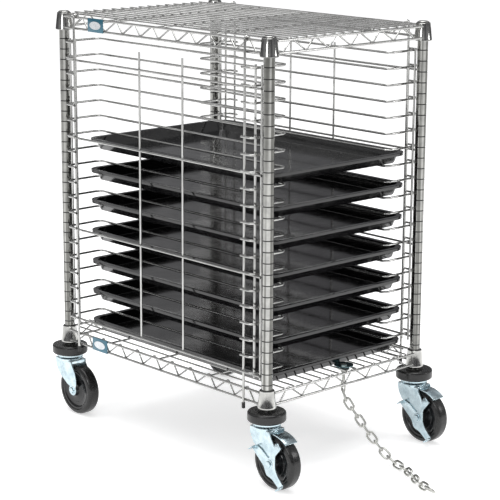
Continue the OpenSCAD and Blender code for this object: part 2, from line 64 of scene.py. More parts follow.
# ---- Grounding chain ----
# Straight-link steel chain hanging from the eye under the bottom shelf to a bare end on the floor.
# Round wire, bent and butt-welded into oval links, then bright zinc plated.

def start_fresh():
    """Leaves nothing selected, in object mode, before the next operator."""
    if bpy.context.object and bpy.context.object.mode != "OBJECT":
        bpy.ops.object.mode_set(mode="OBJECT")
    bpy.ops.object.select_all(action="DESELECT")


def move_verts(piece, chosen, shift):
    """Moves the vertices that chosen() accepts, in edit mode."""
    bpy.ops.object.mode_set(mode="EDIT")
    bpy.ops.mesh.select_all(action="DESELECT")
    mesh = bmesh.from_edit_mesh(piece.data)
    for vert in mesh.verts:
        vert.select = chosen(vert.co)
    mesh.select_flush(True)
    bmesh.update_edit_mesh(piece.data)
    bpy.ops.transform.translate(value=shift)
    bpy.ops.object.mode_set(mode="OBJECT")


def copy_at(source, name, matrix):
    """A copy with its own mesh, carried to a new place inside that mesh."""
    twin = source.copy()
    twin.data = source.data.copy()
    twin.name = twin.data.name = name
    bpy.context.scene.collection.objects.link(twin)
    twin.data.transform(matrix)
    return twin


def joined(parts, name):
    """One object from several."""
    start_fresh()
    for part in parts:
        part.select_set(True)
    bpy.context.view_layer.objects.active = parts[0]
    if len(parts) > 1:
        bpy.ops.object.join()
    piece = bpy.context.object
    piece.name = piece.data.name = name
    return piece


def smooth(piece, angle=35):
    """Smooth shading that breaks at edges sharper than the angle."""
    start_fresh()
    piece.select_set(True)
    bpy.context.view_layer.objects.active = piece
    bpy.ops.object.shade_smooth_by_angle(angle=math.radians(angle))


def make_fine_grain():
    """Group: a fine uneven surface, as a value for roughness and a normal for the surface."""
    group = bpy.data.node_groups.new("fine_grain", "ShaderNodeTree")
    for name, default in (("Scale", 400.0), ("Low", 0.1), ("High", 0.3), ("Depth", 0.02)):
        socket = group.interface.new_socket(name, in_out="INPUT", socket_type="NodeSocketFloat")
        socket.default_value = default
    group.interface.new_socket("Roughness", in_out="OUTPUT", socket_type="NodeSocketFloat")
    group.interface.new_socket("Normal", in_out="OUTPUT", socket_type="NodeSocketVector")
    nodes, link = group.nodes, group.links.new
    inputs, outputs = nodes.new("NodeGroupInput"), nodes.new("NodeGroupOutput")
    place = nodes.new("ShaderNodeTexCoord")
    noise = nodes.new("ShaderNodeTexNoise")
    noise.inputs["Detail"].default_value = 4
    spread = nodes.new("ShaderNodeMapRange")
    spread.inputs["From Min"].default_value, spread.inputs["From Max"].default_value = 0.3, 0.7
    bump = nodes.new("ShaderNodeBump")
    bump.inputs["Distance"].default_value = 0.001
    link(place.outputs["Object"], noise.inputs["Vector"])
    link(inputs.outputs["Scale"], noise.inputs["Scale"])
    link(noise.outputs["Fac"], spread.inputs["Value"])
    link(inputs.outputs["Low"], spread.inputs["To Min"])
    link(inputs.outputs["High"], spread.inputs["To Max"])
    link(noise.outputs["Fac"], bump.inputs["Height"])
    link(inputs.outputs["Depth"], bump.inputs["Strength"])
    link(spread.outputs["Result"], outputs.inputs["Roughness"])
    link(bump.outputs["Normal"], outputs.inputs["Normal"])
    return group


def make_blotches():
    """Group: broad soft patches between two colours, as stains, plating and handling leave them."""
    group = bpy.data.node_groups.new("blotches", "ShaderNodeTree")
    group.interface.new_socket("Scale", in_out="INPUT", socket_type="NodeSocketFloat").default_value = 20.0
    for name in ("Clean", "Stained"):
        group.interface.new_socket(name, in_out="INPUT", socket_type="NodeSocketColor")
    group.interface.new_socket("Color", in_out="OUTPUT", socket_type="NodeSocketColor")
    nodes, link = group.nodes, group.links.new
    inputs, outputs = nodes.new("NodeGroupInput"), nodes.new("NodeGroupOutput")
    place = nodes.new("ShaderNodeTexCoord")
    noise = nodes.new("ShaderNodeTexNoise")
    noise.inputs["Detail"].default_value = 6
    noise.inputs["Roughness"].default_value = 0.6
    ramp = nodes.new("ShaderNodeValToRGB")
    ramp.color_ramp.elements[0].position, ramp.color_ramp.elements[1].position = 0.38, 0.68
    mix = nodes.new("ShaderNodeMix")
    mix.data_type = "RGBA"
    link(place.outputs["Object"], noise.inputs["Vector"])
    link(inputs.outputs["Scale"], noise.inputs["Scale"])
    link(noise.outputs["Fac"], ramp.inputs["Fac"])
    link(ramp.outputs["Color"], mix.inputs["Factor"])
    link(inputs.outputs["Clean"], mix.inputs["A"])
    link(inputs.outputs["Stained"], mix.inputs["B"])
    link(mix.outputs["Result"], outputs.inputs["Color"])
    return group


FINE_GRAIN, BLOTCHES = make_fine_grain(), make_blotches()


def finish(name, clean, stained, metal, roughness, grain_scale=400, depth=0.02, patch_scale=20, **extra):
    """A material with patchy colour and a fine grain in its gloss and its surface."""
    material = bpy.data.materials.new(name)
    material.use_nodes = True
    nodes, link = material.node_tree.nodes, material.node_tree.links.new
    shader = nodes["Principled BSDF"]
    shader.inputs["Metallic"].default_value = metal
    for socket, value in extra.items():
        shader.inputs[socket.replace("_", " ")].default_value = value
    grain, patches = nodes.new("ShaderNodeGroup"), nodes.new("ShaderNodeGroup")
    grain.node_tree, patches.node_tree = FINE_GRAIN, BLOTCHES
    grain.inputs["Scale"].default_value = grain_scale
    grain.inputs["Low"].default_value, grain.inputs["High"].default_value = roughness
    grain.inputs["Depth"].default_value = depth
    patches.inputs["Scale"].default_value = patch_scale
    patches.inputs["Clean"].default_value = (*clean, 1)
    patches.inputs["Stained"].default_value = (*stained, 1)
    link(patches.outputs["Color"], shader.inputs["Base Color"])
    link(grain.outputs["Roughness"], shader.inputs["Roughness"])
    link(grain.outputs["Normal"], shader.inputs["Normal"])
    return material


def give(piece, material):
    piece.data.materials.clear()
    piece.data.materials.append(material)


CHAIN_WIRE, CHAIN_WIDTH, LINK_LENGTH = 0.0055, 0.021, 0.035
CHAIN_ROUTE = [
    (0.014, -0.350, 0.170), (0.014, -0.351, 0.159), (0.017, -0.360, 0.140), (0.023, -0.376, 0.118),
    (0.030, -0.394, 0.094), (0.036, -0.413, 0.070), (0.042, -0.434, 0.048), (0.046, -0.456, 0.029),
    (0.047, -0.482, 0.016), (0.044, -0.508, 0.011), (0.036, -0.534, 0.011), (0.024, -0.558, 0.011),
    (0.010, -0.584, 0.011), (-0.004, -0.610, 0.011), (-0.014, -0.640, 0.011), (-0.021, -0.672, 0.011),
]


def smooth_route(route, steps):
    """Points of one smooth curve through the route."""
    points = [Vector(p) for p in route]
    last = len(points) - 1
    line = []
    for i in range(last):
        p0, p1, p2, p3 = points[max(i - 1, 0)], points[i], points[i + 1], points[min(i + 2, last)]
        for k in range(steps):
            t = k / steps
            line.append(0.5 * (
                2 * p1 + (p2 - p0) * t + (2 * p0 - 5 * p1 + 4 * p2 - p3) * t * t
                + (3 * p1 - p0 - 3 * p2 + p3) * t ** 3
            ))
    return line + [points[last]]


def at_distance(line, distance):
    """The point that far along a line, and the direction there."""
    for a, b in zip(line, line[1:]):
        step = (b - a).length
        if distance <= step:
            return a + (b - a) * (distance / step), (b - a).normalized()
        distance -= step
    return line[-1], (line[-1] - line[-2]).normalized()


chain_line = smooth_route(CHAIN_ROUTE, 8)
chain_length = sum((b - a).length for a, b in zip(chain_line, chain_line[1:]))
start_fresh()
bpy.ops.mesh.primitive_torus_add(
    major_radius=(CHAIN_WIDTH - CHAIN_WIRE) / 2, minor_radius=CHAIN_WIRE / 2,
    major_segments=24, minor_segments=10,
)
link_model = bpy.context.object
for side in (-1, 1):
    move_verts(link_model, lambda co: co.x * side > 1e-6, (side * (LINK_LENGTH - CHAIN_WIDTH) / 2, 0, 0))
chain_links = []
links_after_first = round((chain_length - LINK_LENGTH) / (LINK_LENGTH - 2 * CHAIN_WIRE))
link_pitch = (chain_length - LINK_LENGTH) / links_after_first
for i in range(links_after_first + 1):
    centre, ahead = at_distance(chain_line, LINK_LENGTH / 2 + i * link_pitch)
    up = Vector((1, 0, 0)).cross(ahead).normalized()
    turn = math.radians(48 if i % 2 else -42)
    facing = Matrix((ahead, up.cross(ahead), up)).transposed()
    place = Matrix.Translation(centre) @ facing.to_4x4() @ Matrix.Rotation(turn, 4, "X")
    chain_links.append(copy_at(link_model, f"link_{i}", place))
bpy.data.objects.remove(link_model)
chain = joined(chain_links, "grounding_chain")
smooth(chain, 60)
chain_zinc = finish(
    "chain_zinc", (0.62, 0.62, 0.59), (0.42, 0.42, 0.40), 1.0, (0.22, 0.42), grain_scale=900, patch_scale=60,
)
give(chain, chain_zinc)
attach(chain, "root")
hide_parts("drag_chain")

# ---- Posts and caps ----
# Round steel tube with a groove rolled in at every inch, bright chrome plated, with pressed-in caps.
# Each post is turned about its own axis, its bore open down to the caster stem.

chrome = finish(
    "bright_chrome", (0.52, 0.52, 0.50), (0.36, 0.36, 0.35), 1.0, (0.06, 0.15), depth=0.004, patch_scale=45,
)
post_low, post_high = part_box("post_rear_right")
POST_X, POST_Y = (post_low.x + post_high.x) / 2, (post_low.y + post_high.y) / 2
POST_R, POST_WALL, POST_FOOT, POST_TOP = (post_high.x - post_low.x) / 2, 0.0013, post_low.z, post_high.z
GROOVES, GROOVE_PITCH, GROOVE_DEPTH, GROOVE_LIP, GROOVE_FLOOR = 33, 0.0254, 0.0007, 0.0011, 0.0005
PLUG_R, PLUG_DEPTH, CAP_RIM, CAP_ROUND, CAP_CROWN = 0.01137, 0.012, 0.0010, 0.0030, 0.0026
CORNERS = {"front_left": (-1, -1), "front_right": (1, -1), "rear_left": (-1, 1), "rear_right": (1, 1)}


def set_ramp(ramp, *stops):
    """Gives a colour ramp its two stops, each a position and a colour."""
    for element, (position, color) in zip(ramp.color_ramp.elements, stops):
        element.position, element.color = position, color


def chrome_painted_streak_and_groove_shade():
    """Chrome with painted reflections in long dark upright bands, and painted shade darkening the rolled
    grooves.
    """
    material = finish(
        "chrome_painted_streak_and_groove_shade", (0.46, 0.46, 0.44), (0.34, 0.34, 0.33), 1.0, (0.06, 0.15),
        depth=0.004, patch_scale=45,
    )
    nodes, link = material.node_tree.nodes, material.node_tree.links.new
    shader = nodes["Principled BSDF"]
    clean = shader.inputs["Base Color"].links[0].from_socket
    place, parts = nodes.new("ShaderNodeTexCoord"), nodes.new("ShaderNodeSeparateXYZ")
    link(place.outputs["Object"], parts.inputs["Vector"])
    value = parts.outputs["Z"]
    # Mask of a thin band at each rolled groove, where the painted groove shade goes
    steps = (
        ("SUBTRACT", POST_FOOT), ("DIVIDE", GROOVE_PITCH), ("FRACT", 0), ("SUBTRACT", 0.5), ("ABSOLUTE", 0),
        ("LESS_THAN", 0.05),
    )
    for operation, operand in steps:
        math_node = nodes.new("ShaderNodeMath")
        math_node.operation = operation
        math_node.inputs[1].default_value = operand
        link(value, math_node.inputs[0])
        value = math_node.outputs["Value"]
    # Stretched noise paints long dark upright bands onto the chrome as painted reflections of the
    # surroundings
    stretch = nodes.new("ShaderNodeMapping")
    stretch.inputs["Scale"].default_value = (150, 150, 1.2)
    painted_reflection_bands = nodes.new("ShaderNodeTexNoise")
    painted_reflection_bands.inputs["Scale"].default_value = 1
    ramp = nodes.new("ShaderNodeValToRGB")
    set_ramp(ramp, (0.42, (0.35, 0.35, 0.34, 1)), (0.58, (1, 1, 1, 1)))
    link(place.outputs["Object"], stretch.inputs["Vector"])
    link(stretch.outputs["Vector"], painted_reflection_bands.inputs["Vector"])
    link(painted_reflection_bands.outputs["Fac"], ramp.inputs["Fac"])
    painted_band_mix, painted_groove_shade = nodes.new("ShaderNodeMix"), nodes.new("ShaderNodeMix")
    painted_band_mix.data_type, painted_band_mix.blend_type, painted_groove_shade.data_type = "RGBA", "MULTIPLY", "RGBA"
    painted_band_mix.inputs["Factor"].default_value = 1
    # Near black colour painted into the grooves as painted shade
    painted_groove_shade.inputs["B"].default_value = (0.05, 0.05, 0.05, 1)
    link(clean, painted_band_mix.inputs["A"])
    link(ramp.outputs["Color"], painted_band_mix.inputs["B"])
    link(value, painted_groove_shade.inputs["Factor"])
    link(painted_band_mix.outputs["Result"], painted_groove_shade.inputs["A"])
    link(painted_groove_shade.outputs["Result"], shader.inputs["Base Color"])
    return material


def apply_modifiers(piece):
    start_fresh()
    piece.select_set(True)
    bpy.context.view_layer.objects.active = piece
    for modifier in list(piece.modifiers):
        bpy.ops.object.modifier_apply(modifier=modifier.name)


def turned(name, profile, sides=64, angle=30):
    """A shape turned about Z from a closed outline of (radius, height) points."""
    start_fresh()
    bpy.ops.mesh.primitive_circle_add(vertices=len(profile), fill_type="NOTHING")
    piece = bpy.context.object
    piece.name = name
    for vert, (radius, height) in zip(piece.data.vertices, profile):
        vert.co = (radius, 0, height)
    bpy.ops.object.modifier_add(type="SCREW")
    screw = piece.modifiers[-1]
    screw.steps = screw.render_steps = sides
    apply_modifiers(piece)
    bpy.ops.object.mode_set(mode="EDIT")
    bpy.ops.mesh.select_all(action="SELECT")
    bpy.ops.mesh.remove_doubles(threshold=1e-6)
    bpy.ops.mesh.normals_make_consistent(inside=False)
    bpy.ops.object.mode_set(mode="OBJECT")
    smooth(piece, angle)
    return piece


def at_posts(source, name):
    """The same part at all four posts, as one piece."""
    copies = []
    for sign_x, sign_y in CORNERS.values():
        copies.append(copy_at(source, name, Matrix.Translation((sign_x * POST_X, sign_y * POST_Y, 0))))
    bpy.data.objects.remove(source)
    return joined(copies, name)


def place_piece(piece, material, body, slot_name, *nodes):
    """Gives a piece its finish, its body and the CAD nodes that it stands for."""
    give(piece, material)
    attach(piece, body)
    if nodes:
        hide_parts(*nodes)


post_profile = [(POST_R - POST_WALL, POST_FOOT), (POST_R, POST_FOOT)]
for i in range(GROOVES):
    groove_z = POST_FOOT + GROOVE_PITCH * (i + 0.5)
    for along, share in ((-GROOVE_LIP, 0), (-GROOVE_FLOOR, 1), (GROOVE_FLOOR, 1), (GROOVE_LIP, 0)):
        post_profile.append((POST_R - share * GROOVE_DEPTH, groove_z + along))
post_profile += [(POST_R, POST_TOP), (POST_R - POST_WALL, POST_TOP)]
post_model = turned("post", post_profile, angle=20)
# The posts carry painted reflection bands and painted groove shade in their colour
post_finish = chrome_painted_streak_and_groove_shade()
for corner, (sign_x, sign_y) in CORNERS.items():
    tube = copy_at(post_model, f"tube_{corner}", Matrix.Translation((sign_x * POST_X, sign_y * POST_Y, 0)))
    place_piece(tube, post_finish, "root", "chrome_post", f"post_{corner}")
bpy.data.objects.remove(post_model)

cap_profile = [
    (0, POST_TOP - PLUG_DEPTH), (PLUG_R, POST_TOP - PLUG_DEPTH), (PLUG_R, POST_TOP), (POST_R, POST_TOP),
]
for i in range(7):
    bend = math.radians(15 * i)
    cap_profile.append((
        POST_R - CAP_ROUND + CAP_ROUND * math.cos(bend), POST_TOP + CAP_RIM + CAP_CROWN * math.sin(bend),
    ))
cap_profile += [(0.0060, POST_TOP + 0.0039), (0, POST_TOP + 0.0040)]
place_piece(at_posts(turned("cap", cap_profile), "pressed_caps"), chrome, "root", "chrome_post", "post_caps")

# ---- Shelves ----
# Welded wire mats on double rims with a zigzag between them, all chrome plated in one piece.
# Each corner is a tapered collar wedged on a split plastic sleeve that grips a post groove.

wire_chrome = finish(
    "wire_chrome", (0.52, 0.52, 0.51), (0.36, 0.36, 0.35), 1.0, (0.08, 0.22), grain_scale=700, depth=0.012,
)
sleeve_plastic = finish(
    "sleeve_plastic", (0.02, 0.02, 0.02), (0.035, 0.035, 0.035), 0.0, (0.35, 0.5), depth=0.05,
)
SHELF_TOP = {"top": 1.0095, "bottom": 0.2221}
MAT_WIRE, MAT_DROP, MAT_PITCH, MAT_WIRES, MAT_END, SHORT_END = 0.004, 0.0025, 0.0288, 17, 0.377, 0.3387
RIM_WIRE, RIM_X, RIM_Y, RIM_DROP, RIM_GAP = 0.006, 0.255, 0.374, 0.0072, 0.0268
CROSS_WIRE, CROSS_DROP = 0.005, 0.0067
ZIGZAG_WIRE, ZIGZAG_BEND, ZIGZAG_LEAN, ZIGZAG_INSET, ZIGZAG_GAP = 0.004, 0.0057, 0.010, 0.0047, 0.0001
# Half length, rim it stands at, turns and direction of the zigzags of the short and the long sides
ZIGZAG_SIDES = ((0.2097, RIM_Y, 6, 0), (0.3287, RIM_X, 10, 90))
COLLAR_TOP_R, COLLAR_FOOT_R, COLLAR_H, COLLAR_EDGE = 0.0172, 0.0213, 0.041, 0.0006
COLLAR_BORE_TOP_R, COLLAR_BORE_FOOT_R = 0.01443, 0.01593


def dress(material, *names):
    """Gives CAD nodes a finish."""
    for name in names:
        give(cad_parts[name], material)


def rounded_line(points, radius, steps=5):
    """A line of points whose inner corners are bent to a radius."""
    corners = [Vector(point) for point in points]
    line = [corners[0]]
    for before, corner, after in zip(corners, corners[1:], corners[2:]):
        back, ahead = (before - corner).normalized(), (after - corner).normalized()
        half_angle = back.angle(ahead) / 2
        into, out = (corner + way * radius / math.tan(half_angle) for way in (back, ahead))
        centre = corner + (back + ahead).normalized() * radius / math.sin(half_angle)
        for k in range(steps + 1):
            line.append(centre + (into - centre).slerp(out - centre, k / steps).normalized() * radius)
    return line + [corners[-1]]


def wire_piece(name, lines, diameter):
    """Round wires along lines of points, as one mesh."""
    curve = bpy.data.curves.new(name, "CURVE")
    curve.dimensions = "3D"
    curve.bevel_depth, curve.bevel_resolution, curve.use_fill_caps = diameter / 2, 4, True
    for line in lines:
        spline = curve.splines.new("POLY")
        spline.points.add(len(line) - 1)
        for point, co in zip(spline.points, line):
            point.co = (*co, 1)
    piece = bpy.data.objects.new(name, curve)
    bpy.context.scene.collection.objects.link(piece)
    start_fresh()
    piece.select_set(True)
    bpy.context.view_layer.objects.active = piece
    bpy.ops.object.convert(target="MESH")
    piece = bpy.context.object
    bpy.ops.object.mode_set(mode="EDIT")
    bpy.ops.mesh.select_all(action="SELECT")
    bpy.ops.mesh.remove_doubles(threshold=1e-6)
    bpy.ops.object.mode_set(mode="OBJECT")
    smooth(piece, 50)
    return piece


def rim_start(drop):
    """How far from the post centre a rim wire meets its collar."""
    collar_r = COLLAR_TOP_R + (COLLAR_FOOT_R - COLLAR_TOP_R) * drop / COLLAR_H
    return math.sqrt(collar_r ** 2 - (RIM_X - POST_X) ** 2) - COLLAR_EDGE


for shelf, shelf_z in SHELF_TOP.items():
    mat = []
    for i in range(MAT_WIRES):
        side = i - (MAT_WIRES - 1) / 2
        end = SHORT_END if abs(side) == (MAT_WIRES - 1) / 2 else MAT_END
        mat.append([(side * MAT_PITCH, y, shelf_z - MAT_DROP) for y in (-end, end)])
    mat_piece = wire_piece(f"{shelf}_mat_wires", mat, MAT_WIRE)
    place_piece(mat_piece, wire_chrome, "root", "chrome_wire", f"{shelf}_shelf_mat")

    rims = []
    for drop in (RIM_DROP, RIM_DROP + RIM_GAP):
        end_x, end_y = POST_X - rim_start(drop), POST_Y - rim_start(drop)
        for side in (-1, 1):
            rims.append([(side * RIM_X, y, shelf_z - drop) for y in (-end_y, end_y)])
            rims.append([(x, side * RIM_Y, shelf_z - drop) for x in (-end_x, end_x)])
    rim_piece = wire_piece(f"{shelf}_rim_wires", rims, RIM_WIRE)
    place_piece(rim_piece, wire_chrome, "root", "chrome_wire", f"{shelf}_shelf_rims")

    end_x = RIM_X - RIM_WIRE / 2
    crossings = [
        [(x, y, shelf_z - CROSS_DROP) for x in (-end_x, end_x)]
        for y in (-POST_Y / 2, 0, POST_Y / 2)
    ]
    cross_piece = wire_piece(f"{shelf}_cross_wires", crossings, CROSS_WIRE)
    place_piece(cross_piece, wire_chrome, "root", "chrome_wire", f"{shelf}_shelf_cross_wires")

    low, high = shelf_z - RIM_DROP - RIM_GAP, shelf_z - CROSS_DROP - ZIGZAG_GAP
    zigzags = []
    for half, out, turns, first in ZIGZAG_SIDES:
        corners = [
            (-half + i * half / turns, ZIGZAG_LEAN if i % 2 else 0, high if i % 2 else low)
            for i in range(2 * turns + 1)
        ]
        line = rounded_line(corners, ZIGZAG_BEND)
        for turn in (first, first + 180):
            turned_seat = Matrix.Rotation(math.radians(turn), 4, "Z")
            seat = turned_seat @ Matrix.Translation((0, -out + ZIGZAG_INSET, 0))
            zigzags.append([seat @ point for point in line])
    zigzag_piece = wire_piece(f"{shelf}_zigzag_wires", zigzags, ZIGZAG_WIRE)
    place_piece(zigzag_piece, wire_chrome, "root", "chrome_wire", f"{shelf}_shelf_zigzags")

    foot = shelf_z - COLLAR_H
    collar_profile = [
        (COLLAR_BORE_FOOT_R, foot), (COLLAR_FOOT_R - COLLAR_EDGE, foot),
        (COLLAR_FOOT_R, foot + COLLAR_EDGE), (COLLAR_FOOT_R, foot + 0.0028),
        (COLLAR_FOOT_R - 0.0004, foot + 0.0040), (COLLAR_TOP_R, shelf_z - 0.0007),
        (COLLAR_TOP_R - COLLAR_EDGE, shelf_z), (COLLAR_BORE_TOP_R, shelf_z),
    ]
    collars = at_posts(turned("collar", collar_profile), f"{shelf}_collars")
    place_piece(collars, chrome, "root", "chrome_post", f"{shelf}_shelf_collars")
    dress(sleeve_plastic, f"{shelf}_shelf_sleeves")

# ---- Shelf badges ----
# Small enamelled plates clipped to the left rims, left blank, each with a plain bright oval.
# Stamped from sheet with soft edges, the oval pressed on.

badge_enamel = finish(
    "badge_enamel", (0.02, 0.11, 0.17), (0.03, 0.15, 0.21), 0.3, (0.18, 0.3), Coat_Weight=0.6,
)
badge_bright = finish("badge_bright", (0.66, 0.68, 0.70), (0.50, 0.52, 0.54), 1.0, (0.15, 0.3))
BADGE_X, BADGE_Y, BADGE_DROP, BADGE_SIZE, BADGE_EDGE = -0.2587, 0.223, 0.0206, (0.0020, 0.058, 0.0328), 0.0006
OVAL_HALF_H, OVAL_HALF_L, OVAL_METAL, OVAL_OUT = 0.0095, 0.021, 0.0008, 0.0012


def bar(name, size, centre, bevel=0.0008):
    """A small block with softened edges."""
    start_fresh()
    bpy.ops.mesh.primitive_cube_add(size=1, location=(0, 0, 0))
    piece = bpy.context.object
    piece.name = name
    piece.data.transform(Matrix.Translation(centre) @ Matrix.Diagonal((*size, 1)))
    bpy.ops.object.modifier_add(type="BEVEL")
    piece.modifiers[-1].width, piece.modifiers[-1].segments = bevel, 3
    apply_modifiers(piece)
    return piece


badges, ovals = [], []
for shelf_z in SHELF_TOP.values():
    middle = Vector((BADGE_X, BADGE_Y, shelf_z - BADGE_DROP))
    badges.append(bar("badge", BADGE_SIZE, middle, BADGE_EDGE))
    start_fresh()
    bpy.ops.mesh.primitive_cylinder_add(vertices=48, radius=1, depth=OVAL_METAL)
    oval = bpy.context.object
    facing = Matrix.Translation(middle - Vector((OVAL_OUT, 0, 0))) @ Matrix.Rotation(math.pi / 2, 4, "Y")
    oval.data.transform(facing @ Matrix.Diagonal((OVAL_HALF_H, OVAL_HALF_L, 1, 1)))
    ovals.append(oval)
badge_set = joined(badges, "badge_plates")
smooth(badge_set)
place_piece(badge_set, badge_enamel, "root", "badge_face", "shelf_badges")
oval_set = joined(ovals, "badge_ovals")
smooth(oval_set)
place_piece(oval_set, badge_bright, "root", "anchor_chrome")

# ---- Pan slides ----
# Bent wire runners welded to uprights, hung from the top shelf on two hooked rods a side, chrome plated.
# The rods end in dipped vinyl caps beside the bottom shelf.

SLIDE_WIRE, HANGER_WIRE, SLIDE_BEND = 0.0055, 0.006, 0.014
LEVELS, LEVEL_PITCH, LEVEL_1_Z, STRAIGHT_DROP = 19, 0.0381, 0.94275, 0.007
RUNNER_X, LEG_Y, TAIL_X, TAIL_END = 0.1635, 0.336, 0.26675, 0.299
HANGER_X, HANGER_Y, HANGER_FOOT, HOOK_R = 0.2613, 0.304, 0.1711, 0.0063
UPRIGHT_Y, UPRIGHT_BELOW, UPRIGHT_ABOVE = (0.3412, 0.3212), 0.016, 0.006
MIDDLE_Y, MIDDLE_BELOW, MIDDLE_SHORT = 0.077, 0.011, 0.004
STRAIGHT_LEVELS, STRAIGHT_X, STRAIGHT_HALF = (2, 7, 13, 19), 0.2502, 0.3472

for name, side in (("left", -1), ("right", 1)):
    runners = []
    for level in range(LEVELS):
        z = LEVEL_1_Z - level * LEVEL_PITCH
        corners = [(TAIL_X, -TAIL_END), (TAIL_X, -LEG_Y), (RUNNER_X, -LEG_Y)]
        corners += [(x, -y) for x, y in reversed(corners)]
        runners.append(rounded_line([(side * x, y, z) for x, y in corners], SLIDE_BEND))
    for level in STRAIGHT_LEVELS:
        z = LEVEL_1_Z - (level - 1) * LEVEL_PITCH - STRAIGHT_DROP
        runners.append([(side * STRAIGHT_X, y, z) for y in (-STRAIGHT_HALF, STRAIGHT_HALF)])
    runner_piece = wire_piece(f"{name}_runner_wires", runners, SLIDE_WIRE)
    place_piece(runner_piece, wire_chrome, "root", "chrome_wire", f"{name}_slide_runners")

    lowest_z, hook_z = LEVEL_1_Z - (LEVELS - 1) * LEVEL_PITCH, SHELF_TOP["top"] - RIM_DROP
    uprights, hangers = [], []
    for end in (-1, 1):
        for y in UPRIGHT_Y:
            ends_z = (lowest_z - UPRIGHT_BELOW, LEVEL_1_Z + UPRIGHT_ABOVE)
            uprights.append([(side * POST_X, end * y, z) for z in ends_z])
        ends_z = (lowest_z - MIDDLE_BELOW, LEVEL_1_Z - MIDDLE_SHORT)
        uprights.append([(side * POST_X, end * MIDDLE_Y, z) for z in ends_z])
        hook = [(side * HANGER_X, end * HANGER_Y, HANGER_FOOT)]
        for k in range(13):
            bend = math.radians(15 * k)
            hook.append((
                side * (HANGER_X - HOOK_R + HOOK_R * math.cos(bend)), end * HANGER_Y,
                hook_z + HOOK_R * math.sin(bend),
            ))
        hangers.append(hook)
    frame_wires = [wire_piece("uprights", uprights, SLIDE_WIRE), wire_piece("hangers", hangers, HANGER_WIRE)]
    upright_piece = joined(frame_wires, f"{name}_upright_wires")
    place_piece(upright_piece, wire_chrome, "root", "chrome_wire", f"{name}_slide_uprights")

black_vinyl = finish("black_vinyl", (0.012, 0.012, 0.012), (0.02, 0.02, 0.02), 0.0, (0.25, 0.4), depth=0.03)
dress(black_vinyl, "slide_end_tips")

# ---- Baking trays ----
# Full-size sheet pans pressed from one steel sheet, with a flat rim turned down at its edge.
# Coated in glossy black that is very slightly uneven, so reflections waver in the floor.

tray_low, tray_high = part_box("tray_1")
TRAY_W, TRAY_L, TRAY_H = tray_high - tray_low
TRAY_METAL, TRAY_RIM, TRAY_SLOPE, TRAY_CORNER = 0.0013, 0.012, 0.013, 0.038


def tray_model():
    """One tray with its top at Z = TRAY_H, centred on the origin."""
    start_fresh()
    bpy.ops.mesh.primitive_plane_add(size=1, location=(0, 0, 0))
    piece = bpy.context.object
    piece.data.transform(Matrix.Translation((0, 0, TRAY_H)) @ Matrix.Diagonal((TRAY_W, TRAY_L, 1, 1)))
    bpy.ops.object.mode_set(mode="EDIT")
    bpy.ops.mesh.select_all(action="SELECT")
    bpy.ops.mesh.bevel(offset=TRAY_CORNER, segments=10, affect="VERTICES")
    bpy.ops.mesh.select_all(action="SELECT")
    bpy.ops.mesh.inset(thickness=0.0012, depth=0)
    bpy.ops.mesh.inset(thickness=TRAY_RIM - 0.0012, depth=0)
    bpy.ops.mesh.inset(thickness=0.0012, depth=-0.0012)
    bpy.ops.mesh.inset(thickness=TRAY_SLOPE - 0.0042, depth=-(TRAY_H - TRAY_METAL - 0.0032))
    bpy.ops.mesh.inset(thickness=0.0020, depth=-0.0020)
    bpy.ops.mesh.inset(thickness=0.0030, depth=0)
    bpy.ops.mesh.select_all(action="DESELECT")
    bpy.ops.mesh.select_mode(type="EDGE")
    mesh = bmesh.from_edit_mesh(piece.data)
    for edge in mesh.edges:
        edge.select = edge.is_boundary
    bmesh.update_edit_mesh(piece.data)
    for sink in (0.0012, 0.0058):
        bpy.ops.mesh.extrude_region_move(TRANSFORM_OT_translate={"value": (0, 0, -sink)})
    bpy.ops.object.mode_set(mode="OBJECT")
    bpy.ops.object.modifier_add(type="SOLIDIFY")
    piece.modifiers[-1].thickness = TRAY_METAL
    piece.modifiers[-1].offset = -1
    bpy.ops.object.modifier_add(type="BEVEL")
    piece.modifiers[-1].width = 0.0004
    piece.modifiers[-1].segments = 2
    piece.modifiers[-1].limit_method = "ANGLE"
    apply_modifiers(piece)
    smooth(piece, 40)
    return piece


tray_coating = finish(
    "tray_coating", (0.0035, 0.0035, 0.0038), (0.008, 0.008, 0.0085), 0.0, (0.10, 0.20),
    grain_scale=35, depth=0.10, patch_scale=8, Coat_Weight=0.2, Coat_Roughness=0.06,
)
model = tray_model()
for number in range(1, 8):
    low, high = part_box(f"tray_{number}")
    place = Matrix.Translation(((low.x + high.x) / 2, (low.y + high.y) / 2, high.z - TRAY_H))
    tray = copy_at(model, f"baking_tray_{number}", place)
    place_piece(tray, tray_coating, f"pan_{number}", "tray_coating", f"tray_{number}")
bpy.data.objects.remove(model)

# ---- Casters ----
# Stem casters with a round bumper above, a pressed and zinc plated fork, and a five inch wheel.
# The two front ones carry a rocking brake lever and a shoe that swings down on the tread.

